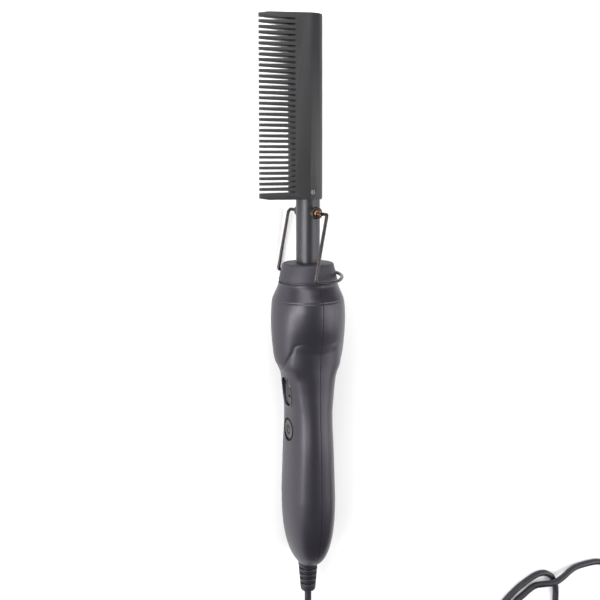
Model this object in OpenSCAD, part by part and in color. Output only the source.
// Electric hot comb with a toothed heated head, a folding wire rest and a two-shell handle.
// The comb is drawn standing: Z runs up the comb from the handle to the head, with zero just
// below the top of the heat collar. -X is the side of the teeth and the buttons, +X is the spine, and -Y
// is the side of the shell seam. laid() then puts it down on the table, resting on the wire
// and on the belly of the grip.

/* [Comb head] */
// Length of the toothed head
head_len = 90.4; // [70:0.1:120]
// Height of the head's lower edge above zero
head_z = 33.2; // [31:0.1:44]
// Radius of the round spine of the head
spine_r = 7.15; // [7:0.05:9]
// Distance from the spine's axis to the tips of the teeth
tip_reach = 25.8; // [20:0.1:34]
// Half the thickness of the teeth at their tips
tip_r = 0.75; // [0.5:0.05:1.2]
// Number of teeth between the two end plates
teeth = 32; // [16:1:40]
// Thickness of one tooth at its tip
tooth_w = 1.4; // [1:0.05:1.6]
// How much thicker a tooth is at its root
tooth_taper = 0.15; // [0.05:0.05:0.3]
// Thickness of the end plate at the top of the head
end_plate = 2.6; // [2:0.05:4]
// Thickness of the end plate at the foot of the head
foot_plate = 3.2; // [2:0.05:4]
// Distance from the spine's axis to the bottom of the slots
slot_root = 9.3; // [8.4:0.1:12]
// Bore of the head for the heater
head_bore_r = 4.7; // [4:0.05:4.8]

/* [Neck] */
// Outer radius of the neck tube
tube_r = 6; // [5.8:0.05:6.1]
// Inner radius of the neck tube
tube_bore_r = 5; // [4.8:0.05:5.2]
// Depth of the tube's seat in the head
tube_seat = 12; // [8:0.5:16]
// Depth of the tube's lower end below zero
tube_depth = 34; // [30:0.5:36]

/* [Wire rest] */
// Height of the rest's pivot above zero
pivot_z = 26.8; // [25:0.1:28]
// Radius of the wire
wire_r = 0.85; // [0.7:0.05:1.1]
// Radius of the rivets that the wire turns on
rivet_r = 1.3; // [1.1:0.05:1.8]
// Distance of the wire's legs from the comb's axis
leg_spread = 24.5; // [20:0.1:30]
// Length of the legs below the pivot
leg_len = 32.5; // [28:0.1:36]
// Reach of the foot loop away from the legs
foot_reach = 21.4; // [21.2:0.1:26]
// Rise of the foot loop over its reach
foot_rise = 4.5; // [4:0.1:8]
// Angle by which the rest leans when folded against the collar
fold_angle = 10.7; // [9:0.1:10.9]

/* [Heat collar] */
// Height of the collar
collar_h = 8.6; // [7.5:0.1:9]
// Height of the collar's top above zero
collar_rise = 1.2; // [0.5:0.1:1.5]
// Radius of the collar's top
collar_top_r = 13.05; // [11.6:0.05:13.1]
// Radius of the collar's lower edge
collar_r = 14.8; // [14:0.05:15]
// Width of the groove between collar and shells
groove_w = 1; // [0.6:0.1:2]

/* [Handle] */
// Overall length of the handle below zero
handle_len = 154.5; // [150:0.5:160]
// Half thickness of the upper bulge
bulge_a = 18.8; // [17.6:0.1:19.5]
// Half depth of the upper bulge
bulge_b = 19.3; // [18.6:0.1:20]
// Half thickness of the waist
waist_a = 10.9; // [10.8:0.1:12.5]
// Half depth of the waist
waist_b = 15.7; // [15.5:0.1:17]
// Half thickness of the belly
belly_a = 12.3; // [12.2:0.05:13.5]
// Half depth of the belly
belly_b = 17.4; // [17.2:0.1:19]
// Wall of the shells
wall = 2; // [1.6:0.1:2.4]

/* [Controls] */
// Depth of the temperature rocker's centre below zero
rocker_z = 63.9; // [62:0.1:66]
// Length of the rocker's opening
rocker_len = 15; // [13:0.1:16]
// Width of the rocker's opening
rocker_w = 10.4; // [9:0.1:11]
// Depth of the power button's centre below zero
button_z = 83.6; // [82:0.1:88]
// Radius of the power button's opening
button_hole_r = 5.35; // [4.8:0.05:5.8]
// Travel of the power button
button_travel = 0.7; // [0.4:0.1:0.9]
// Gap around the button and the rocker
button_gap = 0.4; // [0.25:0.05:0.45]

/* [Circuit board] */
// Thickness of the board
board_t = 1.6; // [1:0.1:2]
// Half the width of the board
board_half_w = 11; // [9:0.1:11.5]
// Depth of the board's upper end below zero
board_top = 48; // [46:0.5:50]
// Length of the board
board_len = 60; // [52:0.5:62]

/* [Mains lead] */
// Radius of the round mains lead
cord_r = 1.8; // [1.5:0.05:2.2]
// Radius of the strain relief at the handle
relief_r = 5.2; // [4.2:0.05:5.6]
// Radius of the strain relief at its end
relief_end_r = 3.85; // [3:0.05:4]
// Length of the strain relief outside the handle
relief_len = 15.8; // [12:0.1:30]
// Radius of the middle of the coil's turns
coil_mid_r = 19.5; // [18:0.5:22]

/* [Plug] */
// Length of the plug's body
plug_len = 36; // [30:0.5:44]
// Half the width of the plug's body
plug_half_w = 13; // [12:0.1:16]
// Thickness of the plug's body
plug_t = 13.6; // [12:0.1:18]
// Radius of the plug's pins
pin_r = 2; // [2:0.1:2.4]
// Length of the plug's pins outside the body
pin_len = 19; // [17:0.1:20]
// Length of the insulated sleeves at the foot of the pins
pin_sleeve = 10; // [9:0.1:10]
// Distance between the pins' axes
pin_pitch = 18.6; // [17.5:0.1:19]

/* [Hidden] */
$fn = 48;

// Clearances
press_gap = 0.05;
seat_gap = 0.1;
turn_gap = 0.08;
safe_gap = 0.3;
over = 1;

// Levels of the handle, measured down from zero
shell_z = collar_h + groove_w - collar_rise;
shoulder_z = 16.9;
bulge_z = 30;
step_z = 49.5;
waist_z = 76;
belly_z = handle_len - 36.5;
groove_r = collar_r - 0.7;
mouth_r = groove_r - 0.8;

// Smooth curve through stations: zs rises, vs are the values there
function slope(zs, vs, i) =
    let(a = max(i - 1, 0), b = min(i + 1, len(zs) - 1)) (vs[b] - vs[a]) / (zs[b] - zs[a]);
function span(zs, z, i = 0) = i >= len(zs) - 2 || z < zs[i + 1] ? i : span(zs, z, i + 1);
function curve(zs, vs, z) =
    let(i = span(zs, z), h = zs[i + 1] - zs[i], t = (z - zs[i]) / h,
        m = slope(zs, vs, i) * h, n = slope(zs, vs, i + 1) * h)
    (2 * t ^ 3 - 3 * t ^ 2 + 1) * vs[i] + (t ^ 3 - 2 * t ^ 2 + t) * m
    + (3 * t ^ 2 - 2 * t ^ 3) * vs[i + 1] + (t ^ 3 - t ^ 2) * n;

// The round upper form: it flares from the mouth, swells, and falls away past the step
round_z = [shell_z, shell_z + 1.6, shoulder_z - 2.4, shoulder_z, bulge_z - 8, bulge_z,
    bulge_z + 8, step_z - 6.5, step_z - 2.5, step_z, step_z + 3, step_z + 7];
round_a = [collar_r + 0.2, collar_r + 0.4, bulge_a - 1.8, bulge_a - 0.75, bulge_a - 0.25,
    bulge_a, bulge_a - 0.3, bulge_a - 0.75, bulge_a - 1.4, bulge_a - 2.3, bulge_a - 5, 6];
round_b = [collar_r + 0.2, collar_r + 0.4, bulge_b - 1.9, bulge_b - 0.6, bulge_b,
    bulge_b - 0.7, bulge_b - 2.4, bulge_b - 3.4, bulge_b - 4.4, bulge_b - 5.4, bulge_b - 8, 6];

// The grip: broad and oval, it waists under the buttons and swells to the belly
grip_z = [shell_z, bulge_z + 6, step_z - 7, step_z, step_z + 5.5, step_z + 10, rocker_z,
    waist_z, waist_z + 17, belly_z];
grip_a = [waist_a + 2, bulge_a - 2.3, bulge_a - 2.4, bulge_a - 3, waist_a + 2.5, waist_a + 1.7,
    waist_a + 1.1, waist_a, waist_a + 0.5, belly_a];
grip_b = [waist_b - 4, waist_b + 0.9, waist_b + 0.3, waist_b - 0.2, waist_b - 0.3,
    waist_b - 0.4, waist_b - 0.4, waist_b + 0.1, belly_b - 0.5, belly_b];
grip_full = 2.4;

// The rounded lower end shrinks both half widths
end_full = 2.5;
end_reach = handle_len - belly_z + 2;
function end_share(z) = z < belly_z ? 1 : (1 - ((z - belly_z) / end_reach) ^ end_full) ^ (1 / end_full);

function oval(q, a, b, full) =
    1 / ((abs(cos(q)) / a) ^ full + (abs(sin(q)) / b) ^ full) ^ (1 / full);
function round_form(q, z) = z > step_z + 6.9 ? 0
    : oval(q, curve(round_z, round_a, z), curve(round_z, round_b, z), 2);
function grip_form(q, z) = end_share(z)
    * oval(q, curve(grip_z, grip_a, min(z, belly_z)), curve(grip_z, grip_b, min(z, belly_z)), grip_full);
// Distance from the axis to the handle's skin at angle q and depth z
function skin(q, z) = max(round_form(q, z), grip_form(q, z));

// Depths of the loft's rings
grip_top = 61;
grip_end = handle_len - 26;
skin_z = [shell_z, shell_z + 1.6, shell_z + 3, shoulder_z - 2.4, shoulder_z - 1, shoulder_z,
    for (z = [20:3.6:36]) z, for (z = [38:2:58]) z,
    for (i = [0:14]) grip_top + i * (grip_end - 4.5 - grip_top) / 14,
    for (d = [26.1, 22.7, 19.3, 15.9, 12.5, 7, 3.9, 1.5]) handle_len - d, handle_len];
cavity_top = shell_z + wall;
cavity_end = handle_len - wall;
cavity_z = [cavity_top, shoulder_z - 1, for (z = [20:5:36]) z, for (z = [39:3:57]) z,
    for (i = [0:10]) grip_top + i * (grip_end - 7.5 - grip_top) / 10,
    for (d = [24, 19.5, 15, 10.5]) handle_len - d, cavity_end - 3, cavity_end];

// A closed solid of rings at depths zs; each ring runs from angle q0 to q1 at skin minus wall t
module loft(zs, q0, q1, steps, t) {
    n = steps + (q1 - q0 < 360 ? 1 : 0);
    rows = len(zs);
    points = [for (z = zs) for (j = [0:n - 1])
        let(q = q0 + (q1 - q0) * j / steps, r = skin(q, z) - t) [r * cos(q), r * sin(q), -z]];
    sides = [for (i = [0:rows - 2]) for (j = [0:n - 1])
        let(k = (j + 1) % n) [i * n + j, i * n + k, (i + 1) * n + k, (i + 1) * n + j]];
    triangles = [for (f = sides) each [[f[0], f[1], f[2]], [f[0], f[2], f[3]]]];
    top = [for (j = [n - 1:-1:0]) j];
    end = [for (j = [0:n - 1]) (rows - 1) * n + j];
    polyhedron(points, concat(triangles, [top, end]), convexity = 6);
}

// The angle at which the wire and the belly touch the table together
wire_exit_x = 0.6;
corner_z = pivot_z - leg_len * cos(fold_angle) + wire_exit_x * sin(fold_angle);

function wire_low(p) = leg_spread * cos(p) + wire_r - corner_z * sin(p);
function belly_low(p) = max([for (z = [belly_z - 16:1:belly_z + 6]) skin(90, z) * cos(p) + z * sin(p)]);
function settle(p, n) = n == 0 ? p
    : settle(p + asin((wire_low(p) - belly_low(p)) / (belly_z + corner_z)), n - 1);
rest_pitch = settle(3, 8);
lift = belly_low(rest_pitch);

// The origin lies under the middle of the comb, without the lead
high_y = (head_z + head_len) * cos(rest_pitch) + spine_r * sin(rest_pitch);
low_y = -(handle_len + relief_len) * cos(rest_pitch);
mid_y = (high_y + low_y) / 2;
mid_x = (bulge_a - tip_reach) / 2;

// Lays the standing comb on the table
module laid() {
    translate([-mid_x, -mid_y, lift]) rotate([rest_pitch - 90, 0, 0]) children();
}

function unit(v) = v / norm(v);
// A tube of n sides along the points, each ring square to the way past its point
module tube(ps, r, up = [0, 0, 1], n = 8) {
    last = len(ps) - 1;
    ways = [for (i = [0:last]) unit(ps[min(i + 1, last)] - ps[max(i - 1, 0)])];
    points = [for (i = [0:last]) let(u = unit(cross(up, ways[i])), v = cross(ways[i], u))
        for (j = [0:n - 1]) ps[i] + r * (cos(360 * j / n) * u + sin(360 * j / n) * v)];
    sides = [for (i = [0:last - 1]) for (j = [0:n - 1]) let(k = (j + 1) % n)
        [i * n + j, (i + 1) * n + j, (i + 1) * n + k, i * n + k]];
    triangles = [for (f = sides) each [[f[0], f[1], f[2]], [f[0], f[2], f[3]]]];
    polyhedron(points, concat(triangles, [[for (j = [0:n - 1]) j],
        [for (j = [n - 1:-1:0]) last * n + j]]), convexity = 6);
}
// A cylinder along X from x0 to x1
module across(x0, x1, r) {
    translate([x0, 0, 0]) rotate([0, 90, 0]) cylinder(r = r, h = x1 - x0);
}
// A cylinder along Y from y0 to y1
module through(y0, y1, r) {
    translate([0, y0, 0]) rotate([-90, 0, 0]) cylinder(r = r, h = y1 - y0);
}
// A slot outline, length along its first direction
module slot_outline(l, w) {
    for (s = [-1, 1]) translate([s * (l - w) / 2, 0]) circle(d = w);
    square([l - w, w], center = true);
}

// ---- Comb head
lean = asin((spine_r - tip_r) / (tip_reach - tip_r));
head_top = head_z + head_len;
slot_pitch = (head_len - end_plate - foot_plate + tooth_w) / (teeth + 1);
slot_w = slot_pitch - tooth_w;
corner_cut_x = 4.5;
corner_cut_z = 0.7;
slot_crown = 1.1;
spine_chamfer = 1.6;
head_screw_z = head_z + 3.6;
head_screw_r = 1.25;

module teardrop() {
    circle(r = spine_r);
    polygon([[-spine_r * sin(lean), spine_r * cos(lean)],
        for (i = [0:6]) let(q = 90 + lean + i * (180 - 2 * lean) / 6)
            [tip_r - tip_reach + tip_r * cos(q), tip_r * sin(q)],
        [-spine_r * sin(lean), -spine_r * cos(lean)]]);
}
module slots() {
    root = slot_root - 2 * slot_crown;
    for (i = [0:teeth]) {
        z = head_z + foot_plate + slot_w / 2 + i * slot_pitch;
        translate([0, spine_r + over, z]) rotate([90, 0, 0]) linear_extrude(2 * (spine_r + over))
            polygon([[-root, -(slot_w - tooth_taper) / 2], [-root, (slot_w - tooth_taper) / 2],
                [-tip_reach - over, slot_w / 2], [-tip_reach - over, -slot_w / 2]]);
    }
}
module slot_nose() {
    translate([0, 0, head_z]) linear_extrude(head_len)
        polygon([[-slot_root, 0], [-slot_root + slot_crown, spine_r + over], [0, spine_r + over],
            [0, -spine_r - over], [-slot_root + slot_crown, -spine_r - over]]);
}
module head_ends() {
    for (s = [-1, 1])
        translate([0, 0, head_z + head_len / 2]) mirror([0, 0, s < 0 ? 1 : 0])
            translate([0, spine_r + over, head_len / 2]) rotate([90, 0, 0])
                linear_extrude(2 * (spine_r + over)) {
                    polygon([[-tip_reach - over, over], [-tip_reach - over, -corner_cut_z
                        - corner_cut_z * over / corner_cut_x], [-tip_reach + corner_cut_x, 0],
                        [-tip_reach + corner_cut_x, over]]);
                    polygon([[spine_r - spine_chamfer, 0], [spine_r - spine_chamfer, over],
                        [spine_r + over, over], [spine_r + over, -spine_chamfer - over]]);
                }
}
module comb_head() {
    color("#37383b") laid() difference() {
        translate([0, 0, head_z]) linear_extrude(head_len) teardrop();
        difference() {
            slots();
            slot_nose();
        }
        head_ends();
        translate([0, 0, head_z - over]) cylinder(r = head_bore_r, h = head_len + 2 * over);
        translate([0, 0, head_z - over]) cylinder(r = tube_r + press_gap, h = tube_seat + over);
        for (s = [0, 1]) rotate([0, 0, 180 * s]) translate([0, 0, head_screw_z])
            through(-spine_r - over, -tube_bore_r, head_screw_r);
    }
}
plug_depth = 4;
module bore_plug() {
    color("#2b2b2d") laid() translate([0, 0, head_top - plug_depth])
        cylinder(r = head_bore_r - press_gap, h = plug_depth - 0.4);
}
module head_screws() {
    color("#55585c") laid() for (s = [0, 1]) rotate([0, 0, 180 * s]) translate([0, 0, head_screw_z])
        difference() {
            through(0.5 - spine_r, -tube_r, head_screw_r - press_gap);
            translate([0, 0.5 - spine_r, 0]) cube([0.4, 0.8, 2], center = true);
        }
}

// ---- Heater inside the head
heater_z = head_z + tube_seat + 1;
heater_len = head_len - tube_seat - plug_depth - 3;
ptc_t = 2.3;
ptc_w = 7.2;
wedge_slot = ptc_t + 0.1;
module ptc_heater() {
    color("#b9b29a") laid() translate([-ptc_w / 2, -ptc_t / 2, heater_z + 2])
        cube([ptc_w, ptc_t, heater_len - 4]);
}
module heater_wedges() {
    color("#9da1a6") laid() difference() {
        translate([0, 0, heater_z]) cylinder(r = head_bore_r - press_gap, h = heater_len);
        translate([-spine_r, -wedge_slot / 2, heater_z - over])
            cube([2 * spine_r, wedge_slot, heater_len + 2 * over]);
    }
}

// ---- Neck tube, bush and what runs inside
lead_r = 0.75;
lead_x = 2.5;
bush_top = 2.4;
bush_r = 11;
bush_len = tube_depth - 4;
flange_z = 20;
flange_t = 3;
flange_r = 14;
neck_screw_z = tube_depth - 6.5;
neck_screw_r = 1.5;
module neck_tube() {
    color("#3f4145") laid() difference() {
        translate([0, 0, -tube_depth]) cylinder(r = tube_r, h = tube_depth + head_z + tube_seat);
        translate([0, 0, -tube_depth - over])
            cylinder(r = tube_bore_r, h = tube_depth + head_z + tube_seat + 2 * over);
        translate([0, 0, pivot_z]) through(-tube_r - over, tube_r + over, rivet_r + press_gap);
        translate([0, 0, -neck_screw_z]) through(-tube_r - over, tube_r + over, neck_screw_r + press_gap);
    }
}
module neck_bush() {
    color("#c9c2b0") laid() difference() {
        union() {
            translate([0, 0, -bush_top - bush_len]) cylinder(r = bush_r, h = bush_len);
            translate([0, 0, -flange_z - flange_t]) cylinder(r = flange_r, h = flange_t);
        }
        translate([0, 0, -bush_top - bush_len - over])
            cylinder(r = tube_r + press_gap, h = bush_len + 2 * over);
        translate([0, 0, -neck_screw_z])
            through(-bush_r - over, bush_r + over, neck_screw_r + press_gap);
    }
}
module neck_screws() {
    color("#8d9094") laid() for (s = [0, 1]) rotate([0, 0, 180 * s])
        translate([0, 0, -neck_screw_z]) difference() {
            through(0.4 - bush_r, -tube_bore_r - 0.2, neck_screw_r);
            translate([0, 0.4 - bush_r, 0]) cube([0.5, 1.2, 2], center = true);
        }
}
fuse_r = 1.8;
fuse_len = 9;
fuse_z = 4;
module heater_leads() {
    color("#a8322a") laid() {
        tube(lead_run(1, heater_z + 1.8), lead_r, [0, 1, 0]);
        tube([[-lead_x, 0, heater_z + 1.8], [-lead_x, 0, fuse_z + fuse_len + 1]], lead_r, [0, 1, 0]);
        tube(lead_run(-1, fuse_z - 1), lead_r, [0, 1, 0]);
    }
}
function lead_run(s, z) = [[s * lead_x, 0, z], [s * lead_x, 0, -tube_depth],
    [s * 2.6, 5.4 * s, -boss_z[0] + 3], [s * 1.4, 6 * s, -boss_z[0] - 3],
    [board_x - lead_r - 0.1, 6.3 * s, 1 - board_top], [board_x - lead_r - 0.1, 6.5 * s, -board_top - 2.8]];
module thermal_fuse() {
    color("#c7c9cc") laid() translate([-lead_x, 0, fuse_z]) {
        cylinder(r = fuse_r, h = fuse_len);
        translate([0, 0, -1]) cylinder(r = 0.5, h = fuse_len + 2);
    }
}
probe_y = 2.9;
module thermistor() {
    color("#4b5a3c") laid() {
        translate([0, probe_y, heater_z - 1.2]) sphere(r = 1.1);
        tube([[0, probe_y, heater_z - 1.2], [0, probe_y, -tube_depth], [0, 4.8, 5 - board_top],
            [board_x - 0.7, 5, 1 - board_top], [board_x - 0.7, 4, -board_top - 4]], 0.6, [1, 0, 0]);
    }
}

// ---- Wire rest
eye_r = rivet_r + turn_gap + wire_r;
eye_turns = 2;
eye_pitch = 1.65;
spacer_len = 2.6;
eye_in = tube_r + spacer_len + safe_gap + wire_r;
eye_out = eye_in + (eye_turns - 1) * eye_pitch;
rivet_head = eye_out + wire_r + safe_gap;
rivet_head_r = rivet_r + 0.6;
foot_full = 2.3;
// The foot loop is a full half oval that curls up towards its end; q runs from the leg to there
function foot(q, s) = [foot_reach * sin(q) ^ (2 / foot_full) - wire_exit_x,
    s * leg_spread * cos(q) ^ (2 / foot_full), foot_rise * sin(q) ^ (4 / foot_full) - leg_len];
module half_wire(s) {
    head_clear = rivet_head_r + wire_r + safe_gap;
    rotate([-90 * s, 0, 0]) rotate_extrude($fn = 36)
        for (i = [0:eye_turns - 1]) translate([eye_r, eye_in + i * eye_pitch]) circle(r = wire_r, $fn = 24);
    way = [[eye_r, s * eye_out, -1.4], [head_clear - 0.15, s * (eye_out + 0.35), -0.35],
        [head_clear, s * (eye_out + 1.5), 0.1], [-wire_exit_x + 0.5, s * (leg_spread - 2), 0],
        [-wire_exit_x, s * (leg_spread - 0.6), -0.6], [-wire_exit_x, s * leg_spread, -2],
        [-wire_exit_x, s * leg_spread, 1.2 - leg_len],
        for (q = [2, 6, 12, 20, 29, 39, 50, 62, 74, 84]) foot(q, s),
        foot(90, s), foot(90, s) - [0, s, 0]];
    tube(way, wire_r, [0.31, 0.17, 0.93], 12);
}
module stand_wire() {
    color("#3a302a") laid() translate([0, 0, pivot_z]) rotate([0, fold_angle, 0]) {
        half_wire(1);
        half_wire(-1);
    }
}
module pivot_rivets() {
    color("#b06a3b") laid() translate([0, 0, pivot_z]) for (s = [0, 1]) rotate([0, 0, 180 * s]) {
        through(-rivet_head, -tube_bore_r + 0.1, rivet_r);
        through(-rivet_head - 0.8, -rivet_head, rivet_head_r);
        through(wire_r + safe_gap - eye_in, -tube_r - press_gap, rivet_head_r);
        intersection() {
            through(-tube_bore_r - 0.1, -tube_bore_r + 0.8, rivet_head_r);
            translate([0, 0, -rivet_head_r - over])
                cylinder(r = tube_bore_r - seat_gap, h = 2 * (rivet_head_r + over));
        }
    }
}

// ---- Collar and shells
collar_roof = collar_rise + 2.2;
collar_round = 1.1;
spigot_len = 5;
module heat_collar() {
    foot_h = collar_h + groove_w;
    color("#333436") laid() translate([0, 0, collar_rise]) rotate_extrude() difference() {
        polygon([[0, 0], [collar_top_r - collar_round, 0],
            [collar_top_r - 0.3 * collar_round, -0.3 * collar_round],
            [collar_top_r, -collar_round], [collar_r, -collar_h], [groove_r, -collar_h], [groove_r, -foot_h],
            [mouth_r - seat_gap, -foot_h], [mouth_r - seat_gap, -foot_h - spigot_len],
            [0, -foot_h - spigot_len]]);
        translate([0, -foot_h - spigot_len - over])
            square([bush_r + seat_gap, foot_h + spigot_len + over - collar_roof]);
        translate([0, -collar_roof - over]) square([tube_r + seat_gap, collar_roof + 2 * over]);
    }
}
rib_t = 2;
boss_r = 3.3;
screw_r = 1.3;
boss_z = [41, board_top + board_len + boss_r + 1.3];
board_x = 0;
post_z = [board_top + 5, board_top + board_len - 5];
post_y = 7;
key_gap = 0.3;
flange_in = 1.5;
relief_neck_r = 4;
relief_flange_r = 5.9;
relief_flange_z = handle_len - 6.5;
relief_flange_t = 2.4;
clamp_z = handle_len - 16.5;
relief_in = clamp_z - 4;
clamp_t = 5;
clamp_y = 6.4;
guide_wall = 1.4;
button_seat = waist_a - 3.6;
rocker_seat = waist_a - 2.8;
rocker_pin_r = 0.9;
rocker_pin_x = rocker_seat - safe_gap - rocker_pin_r;

// Slabs that carry the bush, the strain relief's flange and the mouth of the shells
module shell_ribs() {
    for (z = [flange_z - rib_t - seat_gap, flange_z + flange_t + seat_gap])
        translate([-bulge_b, -bulge_b, -z - rib_t]) difference() {
            cube([2 * bulge_b, 2 * bulge_b, rib_t]);
            translate([bulge_b, bulge_b, -over]) cylinder(r = bush_r + seat_gap, h = rib_t + 2 * over);
        }
    translate([-bulge_b, -bulge_b, -relief_flange_z + seat_gap])
        difference() {
            cube([2 * bulge_b, 2 * bulge_b, rib_t]);
            translate([bulge_b, bulge_b, -over]) cylinder(r = relief_neck_r + seat_gap, h = rib_t + 2 * over);
        }
}
module shell_bores() {
    translate([0, 0, -cavity_top - over]) cylinder(r = mouth_r, h = cavity_top + over);
    translate([0, 0, -handle_len - over]) cylinder(r = relief_neck_r + seat_gap, h = 2 * wall + over);
}
module board_posts(x0, x1) {
    for (z = post_z) for (y = [-post_y, post_y]) translate([0, y, -z]) across(x0, x1, 1.6);
}
module rocker_slot(grow) {
    translate([0, 0, -rocker_z]) rotate([0, -90, 0]) linear_extrude(bulge_b)
        slot_outline(rocker_len + 2 * grow, rocker_w + 2 * grow);
}
module front_shell() {
    color("#3c3d41") laid() difference() {
        loft(skin_z, 90, 270, 20, 0);
        difference() {
            loft(cavity_z, 0, 360, 32, wall);
            shell_ribs();
            for (z = boss_z) translate([0, 0, -z]) across(-bulge_b, 0, boss_r);
            board_posts(-bulge_b, board_x);
            for (s = [-1, 1]) translate([0, s * clamp_y, -clamp_z]) across(-bulge_b, -clamp_t / 2, 2.6);
            intersection() {
                rocker_slot(guide_wall);
                translate([-bulge_b - rocker_seat, -bulge_b, -handle_len])
                    cube([bulge_b, 2 * bulge_b, handle_len]);
            }
            translate([0, 0, -button_z]) across(-bulge_b, -button_seat, button_hole_r + guide_wall);
        }
        shell_bores();
        for (z = boss_z) translate([0, 0, -z]) across(-boss_depth, over, screw_r - 0.2);
        for (s = [-1, 1]) translate([0, s * clamp_y, -clamp_z]) across(-boss_depth, over, 0.9);
        rocker_slot(0);
        translate([0, 0, -button_z]) across(-bulge_b, 0, button_hole_r);
    }
}
boss_depth = 8;
screw_head_r = 2.6;
screw_sink = 5;
module rear_shell() {
    color("#3c3d41") laid() difference() {
        loft(skin_z, -90, 90, 20, 0);
        difference() {
            loft(cavity_z, 0, 360, 32, wall);
            shell_ribs();
            for (z = boss_z) translate([0, 0, -z]) across(0, bulge_b, boss_r);
            board_posts(board_x + board_t, bulge_b);
        }
        shell_bores();
        for (z = boss_z) translate([0, 0, -z]) {
            across(-over, bulge_b, screw_r + 0.2);
            across(screw_sink, bulge_b + over, screw_head_r + 0.2);
        }
    }
}
module shell_screws() {
    color("#3a3b3e") laid() for (z = boss_z) translate([0, 0, -z]) difference() {
        union() {
            across(1 - boss_depth, screw_sink, screw_r - 0.2 - press_gap);
            across(screw_sink, screw_sink + 2, screw_head_r);
        }
        translate([screw_sink + 2, 0, 0]) for (q = [0, 90]) rotate([q, 0, 0])
            cube([1.6, 0.6, 2.8], center = true);
    }
}

// ---- Circuit board and controls
key_size = 6;
key_t = 3.4;
key_r = 1.6;
key_nib = 0.8;
key_spread = 4.2;
rocker_key_z = [rocker_z - key_spread, rocker_z + key_spread];
key_face = board_x - key_t - key_nib;
module control_board() {
    color("#2c5a3c") laid() difference() {
        translate([board_x, -board_half_w, -board_top - board_len])
            cube([board_t, 2 * board_half_w, board_len]);
        for (z = post_z) for (y = [-post_y, post_y]) translate([0, y, -z + 2.6])
            across(board_x - over, board_x + board_t + over, 0.5);
    }
}
module board_parts() {
    back = board_x + board_t;
    color("#8a3b2a") laid() {
        translate([back, -7.5, -board_top - 24]) cube([4, 9, 7]);
        translate([back, 0, -board_top - 33]) across(0, 4.5, 3);
        translate([back, -9.5, -board_top - 47]) cube([1.8, 5, 5]);
        translate([back, 1.5, -board_top - 48]) cube([3.2, 6.5, 9]);
        translate([board_x - 2.4, -6, -board_top - board_len + 7.5]) cube([2.4, 12, 4]);
    }
}
module key_switches() {
    color("#1e1f21") laid() for (z = concat(rocker_key_z, [button_z])) translate([0, 0, -z]) {
        translate([board_x - key_t, -key_size / 2, -key_size / 2]) cube([key_t, key_size, key_size]);
        across(key_face, board_x - key_t + 0.1, key_r);
    }
}
button_face = curve(grip_z, grip_a, button_z) - 0.1;
button_rim = button_hole_r - button_gap;
module power_button() {
    flange_top = button_seat - key_gap;
    stem = -key_face + key_gap + button_travel;
    color("#424348") laid() translate([0, 0, -button_z]) rotate([0, -90, 0]) rotate_extrude()
        polygon([[0, stem], [stem_r, stem], [stem_r, flange_top - flange_in],
            [button_hole_r + 1, flange_top - flange_in], [button_hole_r + 1, flange_top],
            [button_rim, flange_top], [button_rim, button_face - 0.5], [button_rim - 0.5, button_face],
            [0, button_face - 0.3]]);
}
stem_r = 2.2;
rocker_face = curve(grip_z, grip_a, rocker_z) - 1.5;
module temperature_rocker() {
    stem = -key_face + key_gap + 0.4;
    dish_r = 40;
    dish = 0.8;
    color("#424348") laid() translate([0, 0, -rocker_z]) difference() {
        union() {
            translate([-rocker_pin_x, 0, 0]) rotate([0, -90, 0]) linear_extrude(rocker_face - rocker_pin_x)
                slot_outline(rocker_len - 2 * button_gap - 0.5, rocker_w - 2 * button_gap);
            for (z = [-key_spread, key_spread]) translate([0, 0, z]) across(-rocker_pin_x - 1, -stem, 1.6);
            translate([-rocker_pin_x, 0, 0]) through(-rocker_w / 2 - 1, rocker_w / 2 + 1, rocker_pin_r);
        }
        translate([dish - rocker_face - dish_r, 0, 0]) rotate([90, 0, 0])
            cylinder(r = dish_r, h = rocker_w - 3.4, center = true, $fn = 96);
    }
}

// ---- Mains lead in the handle
// The two cores part and pass the lower screw's boss, one on each side; run is their way to it
module mains_leads() {
    run = relief_in - boss_z[1];
    core_y = boss_r + 1.7;
    color("#4a5f8f") laid() for (s = [-1, 1])
        tube([[0, s * 0.75, -relief_in], [0, s * 0.75, 0.1 * run - relief_in],
            [0, s * 0.95, 0.15 * run - relief_in], [-0.4, s * (core_y - 2), 0.45 * run - relief_in],
            [-0.6, s * core_y, 0.7 * run - relief_in], [-0.8, s * core_y, -boss_z[1]],
            [board_x - 1.2, s * 4.4, -board_top - board_len + 7.4]], 0.65, [1, 0, 0]);
}
module cord_clamp() {
    color("#3a3b3e") laid() difference() {
        translate([-clamp_t / 2, -clamp_y - 2.6, -clamp_z - 2.4])
            cube([clamp_t, 2 * (clamp_y + 2.6), 4.8]);
        translate([0, 0, -clamp_z - 2.4 - over]) cylinder(r = cord_r + seat_gap, h = 4.8 + 2 * over);
        for (s = [-1, 1]) translate([0, s * clamp_y, -clamp_z]) across(-clamp_t, clamp_t, 1.1);
    }
}
module clamp_screws() {
    color("#8d9094") laid() for (s = [-1, 1]) translate([0, s * clamp_y, -clamp_z]) {
        across(1 - boss_depth, clamp_t / 2 + 0.1, 0.85);
        across(clamp_t / 2, clamp_t / 2 + 1.4, 2);
    }
}
relief_ribs = 4;
relief_hole = 1.2;
rib_cut = 0.8;
rib_slot = 0.35;
function relief_at(d) = relief_r - (relief_r - relief_end_r) * d / relief_len;
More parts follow.
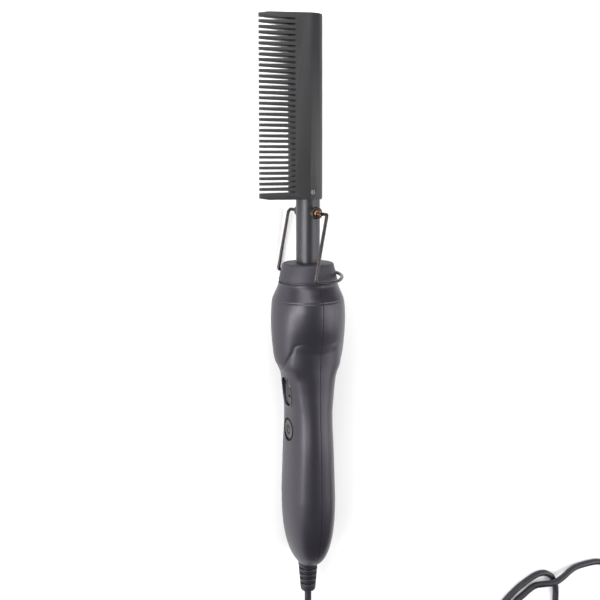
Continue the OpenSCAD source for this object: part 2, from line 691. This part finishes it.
module strain_relief() {
    pitch = (relief_len - 5) / relief_ribs;
    foot_z = -handle_len - 0.1;
    end_z = -handle_len - relief_len;
    color("#26272b") laid() rotate_extrude() polygon([[0, -relief_in], [cord_r, -relief_in],
        [cord_r, -relief_flange_z], [relief_flange_r, -relief_flange_z],
        [relief_flange_r, -relief_flange_z - relief_flange_t],
        [relief_neck_r, -relief_flange_z - relief_flange_t], [relief_neck_r, foot_z], [relief_r, foot_z],
        for (i = [0:relief_ribs - 1]) let(d = 3.4 + i * pitch) each [
            [relief_at(d - rib_slot), -handle_len - d + rib_slot],
            [relief_at(d) - rib_cut, -handle_len - d + rib_slot],
            [relief_at(d) - rib_cut, -handle_len - d - rib_slot],
            [relief_at(d + rib_slot), -handle_len - d - rib_slot]],
        [relief_end_r, end_z + 0.5], [relief_end_r - 0.5, end_z], [cord_r, end_z],
        [cord_r, end_z + relief_hole], [0, end_z + relief_hole]]);
}

// ---- Mains lead on the table, in the table's own frame
// The lead leaves the strain relief in line with the comb, drops to the table, makes one loose
// loop that crosses itself in a low hump, and runs into a coil; its tail ends in the plug.
exit_y = -(handle_len + relief_len - relief_hole) * cos(rest_pitch) - mid_y;
exit_z = lift - (handle_len + relief_len - relief_hole) * sin(rest_pitch);
coil_x = 241;
coil_y = -214;
coil_turn_gap = 2 * cord_r;
coil_layer = 2 * cord_r;
coil_out_r = coil_mid_r + coil_turn_gap + cord_r;
coil_in_r = coil_mid_r - coil_turn_gap - cord_r;
coil_full = 3 * coil_layer;
lead_path = [[-mid_x, exit_y, exit_z], [-mid_x, -156, 13.5], [3.6, -165, 11.6], [4.2, -174, 8.2],
    [6.5, -183, 5], [11.5, -191, 2.6], [19, -197, 1.8], [28, -201, 1.8], [38, -204, 1.8],
    [48, -207, 1.8], [59, -210, 1.8], [70, -213, 1.8], [81, -215, 1.8], [92, -216, 1.8],
    [103, -214.5, 1.8], [113, -210, 1.8], [121, -203.5, 1.8], [128.5, -195.5, 1.8],
    [136.5, -188.5, 1.8], [145, -183, 1.8], [154, -179, 1.8], [161, -177, 1.8],
    [167, -177.5, 1.8], [172, -181, 1.8], [174.5, -187, 1.8], [174.5, -194, 1.8],
    [173.5, -206, 1.8], [167, -214, 1.8], [157, -217.5, 1.8], [147, -215.5, 1.8],
    [140, -209, 1.8], [142, -193, 1.8], [151, -187, 1.8], [158, -183.5, 2.3],
    [163.5, -182.5, 4.6], [170, -182.5, 5.9], [177, -181, 5.4], [184.5, -179, 3.6],
    [192.5, -178, 2.2], [208, -178.5, 1.8], [217.5, -182.5, 1.8], [226, -187, 1.8],
    [235, -190.3, 1.8]];
plug_x = 149;
plug_y = -237.1;
plug_z = plug_t / 2;
plug_relief = 11;
plug_end = plug_x + plug_len + plug_relief;
tail_z = coil_full + cord_r;
tail_path = [[coil_x - 3, coil_y - coil_mid_r - 0.1, tail_z], [232, -233.7, tail_z], [225, -234.1, 12.3],
    [217, -235.2, 10.4], [209, -236.4, 8], [202, -237, 6.9], [plug_end, plug_y, plug_z],
    [plug_end - 5.5, plug_y, plug_z]];

module cord() {
    color("#26272b") {
        tube(lead_path, cord_r);
        tube(tail_path, cord_r);
    }
}
module cord_coil() {
    color("#26272b") translate([coil_x, coil_y, 0]) rotate_extrude()
        polygon([[coil_in_r, 0], [coil_out_r, 0], [coil_out_r, coil_full],
            [coil_out_r - coil_turn_gap, coil_full], [coil_out_r - coil_turn_gap, coil_full + coil_layer],
            [coil_in_r, coil_full + coil_layer]]);
}
pin_root = 10;
sleeve_r = pin_r - 0.3;
plug_round = 3;
plug_back_w = 6.5;
module plug_outline(shrink) {
    polygon([[0, plug_half_w - shrink], [plug_len * 0.45, plug_half_w - shrink],
        [plug_len, plug_back_w - shrink], [plug_len, shrink - plug_back_w],
        [plug_len * 0.45, shrink - plug_half_w], [0, shrink - plug_half_w]]);
}
module plug_body() {
    color("#26272b") translate([plug_x, plug_y, plug_z]) difference() {
        union() {
            translate([0, 0, -plug_z]) linear_extrude(plug_t) plug_outline(plug_round / 2);
            translate([0, 0, plug_round / 2 - plug_z]) linear_extrude(plug_t - plug_round) plug_outline(0);
            across(plug_len, plug_len + plug_relief, 1.6 * cord_r);
        }
        across(plug_len + plug_relief - 6, plug_len + plug_relief + over, cord_r + press_gap);
        for (s = [-1, 1]) translate([0, s * pin_pitch / 2, 0]) across(-over, pin_root, sleeve_r);
    }
}
module plug_pins() {
    color("#b9bcc0") translate([plug_x, plug_y, plug_z]) for (s = [-1, 1])
        translate([0, s * pin_pitch / 2, 0]) {
            across(-pin_len, -pin_sleeve, pin_r);
            across(-pin_sleeve, pin_root - press_gap, sleeve_r);
        }
}

comb_head();
bore_plug();
head_screws();
ptc_heater();
heater_wedges();
thermistor();
thermal_fuse();
heater_leads();
neck_tube();
pivot_rivets();
stand_wire();
heat_collar();
neck_bush();
neck_screws();
front_shell();
rear_shell();
shell_screws();
control_board();
board_parts();
key_switches();
power_button();
temperature_rocker();
mains_leads();
cord_clamp();
clamp_screws();
strain_relief();
cord();
cord_coil();
plug_body();
plug_pins();
